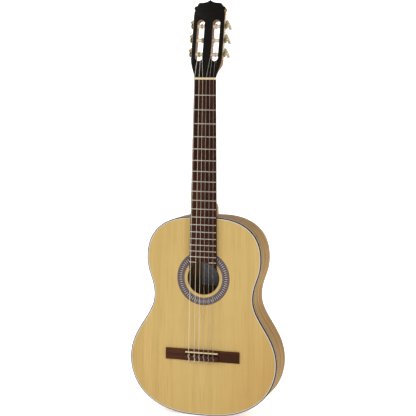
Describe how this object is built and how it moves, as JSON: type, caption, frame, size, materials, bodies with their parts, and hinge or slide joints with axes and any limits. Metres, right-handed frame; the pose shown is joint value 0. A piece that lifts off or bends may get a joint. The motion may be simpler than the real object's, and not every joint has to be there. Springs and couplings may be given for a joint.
{
  "type": "classical guitar",
  "caption": "Classical guitar with a slotted head, a round soundhole, a tie bridge and pearl-buttoned worm-and-gear machine heads.",
  "frame": {"origin": "centre of the flat tail face, on the joint of the sides", "axes": "+Z from the tail to the head, along the strings; -Y is the front (soundboard) side; +X is the treble side"},
  "size_m": [0.3654, 0.1134, 0.9944],
  "materials": {
    "top_wood": "gloss lacquer over straight-grained spruce",
    "body_wood": "gloss lacquer over brown straight-grained wood",
    "neck_wood": "satin lacquer over mid-brown wood",
    "rosewood": "oiled, open-grained dark brown",
    "black_veneer": "gloss black",
    "binding": "gloss near-black",
    "rosette_mosaic": "mosaic of dark and light end-grain squares under gloss lacquer",
    "inner_wood": "bare spruce and cedar",
    "label_paper": "plain matt paper",
    "bone": "cream, polished",
    "gold_plate": "polished, gold-coloured",
    "steel": "bright",
    "button_pearl": "cream mother-of-pearl effect",
    "roller_plastic": "cream",
    "nylon": "clear nylon",
    "wound_wire": "fine silver-bronze winding"
  },
  "bodies": {
    "root": {"soundboard": "top_wood", "rosette": "rosette_mosaic", "back": "body_wood", "side_bass": "body_wood", "side_treble": "body_wood", "binding_top": "binding", "binding_back": "body_wood", "end_graft": "binding", "neck_block": "inner_wood", "tail_block": "inner_wood", "lining_top": "inner_wood", "lining_back": "inner_wood", "upper_bar": "inner_wood", "lower_bar": "inner_wood", "fan_bracing": "inner_wood", "back_bar_1": "inner_wood", "back_bar_2": "inner_wood", "back_bar_3": "inner_wood", "back_strip": "inner_wood", "label": "label_paper", "neck": "neck_wood", "head_plate": "black_veneer", "heel_cap": "binding", "fingerboard": "rosewood", "nut": "bone", "bridge": "rosewood", "saddle": "bone", "string_1": "nylon", "string_2": "nylon", "string_3": "nylon", "string_4": "wound_wire", "string_5": "wound_wire", "string_6": "wound_wire", "tuner_plate_bass": "gold_plate", "tuner_plate_treble": "gold_plate"},
    "key_1": {"tuner_button_1": "button_pearl", "worm_shaft_1": "steel"},
    "roller_1": {"string_roller_1": "roller_plastic", "tuner_gear_1": "gold_plate"},
    "key_2": {"tuner_button_2": "button_pearl", "worm_shaft_2": "steel"},
    "roller_2": {"string_roller_2": "roller_plastic", "tuner_gear_2": "gold_plate"},
    "key_3": {"tuner_button_3": "button_pearl", "worm_shaft_3": "steel"},
    "roller_3": {"string_roller_3": "roller_plastic", "tuner_gear_3": "gold_plate"},
    "key_4": {"tuner_button_4": "button_pearl", "worm_shaft_4": "steel"},
    "roller_4": {"string_roller_4": "roller_plastic", "tuner_gear_4": "gold_plate"},
    "key_5": {"tuner_button_5": "button_pearl", "worm_shaft_5": "steel"},
    "roller_5": {"string_roller_5": "roller_plastic", "tuner_gear_5": "gold_plate"},
    "key_6": {"tuner_button_6": "button_pearl", "worm_shaft_6": "steel"},
    "roller_6": {"string_roller_6": "roller_plastic", "tuner_gear_6": "gold_plate"}
  },
  "joints": [
    {"name": "key_1_turn", "type": "hinge", "parent": "root", "child": "key_1", "pos_m": [0.0423, -0.0343, 0.87303], "axis": [0, 0.9774, -0.2113], "continuous": true},
    {"name": "roller_1_turn", "type": "hinge", "parent": "root", "child": "roller_1", "pos_m": [0, -0.03599, 0.86521], "axis": [1, 0, 0], "continuous": true},
    {"name": "key_2_turn", "type": "hinge", "parent": "root", "child": "key_2", "pos_m": [0.0423, -0.02711, 0.90626], "axis": [0, 0.9774, -0.2113], "continuous": true},
    {"name": "roller_2_turn", "type": "hinge", "parent": "root", "child": "roller_2", "pos_m": [0, -0.0288, 0.89844], "axis": [1, 0, 0], "continuous": true},
    {"name": "key_3_turn", "type": "hinge", "parent": "root", "child": "key_3", "pos_m": [0.0423, -0.01993, 0.93949], "axis": [0, 0.9774, -0.2113], "continuous": true},
    {"name": "roller_3_turn", "type": "hinge", "parent": "root", "child": "roller_3", "pos_m": [0, -0.02162, 0.93167], "axis": [1, 0, 0], "continuous": true},
    {"name": "key_4_turn", "type": "hinge", "parent": "root", "child": "key_4", "pos_m": [-0.0423, -0.01993, 0.93949], "axis": [0, 0.9774, -0.2113], "continuous": true},
    {"name": "roller_4_turn", "type": "hinge", "parent": "root", "child": "roller_4", "pos_m": [0, -0.02162, 0.93167], "axis": [1, 0, 0], "continuous": true},
    {"name": "key_5_turn", "type": "hinge", "parent": "root", "child": "key_5", "pos_m": [-0.0423, -0.02711, 0.90626], "axis": [0, 0.9774, -0.2113], "continuous": true},
    {"name": "roller_5_turn", "type": "hinge", "parent": "root", "child": "roller_5", "pos_m": [0, -0.0288, 0.89844], "axis": [1, 0, 0], "continuous": true},
    {"name": "key_6_turn", "type": "hinge", "parent": "root", "child": "key_6", "pos_m": [-0.0423, -0.0343, 0.87303], "axis": [0, 0.9774, -0.2113], "continuous": true},
    {"name": "roller_6_turn", "type": "hinge", "parent": "root", "child": "roller_6", "pos_m": [0, -0.03599, 0.86521], "axis": [1, 0, 0], "continuous": true}
  ],
  "couplings": [
    {"joint": "roller_1_turn", "follows": "key_1_turn", "ratio": 0.066667},
    {"joint": "roller_2_turn", "follows": "key_2_turn", "ratio": 0.066667},
    {"joint": "roller_3_turn", "follows": "key_3_turn", "ratio": 0.066667},
    {"joint": "roller_4_turn", "follows": "key_4_turn", "ratio": 0.066667},
    {"joint": "roller_5_turn", "follows": "key_5_turn", "ratio": 0.066667},
    {"joint": "roller_6_turn", "follows": "key_6_turn", "ratio": 0.066667}
  ]
}
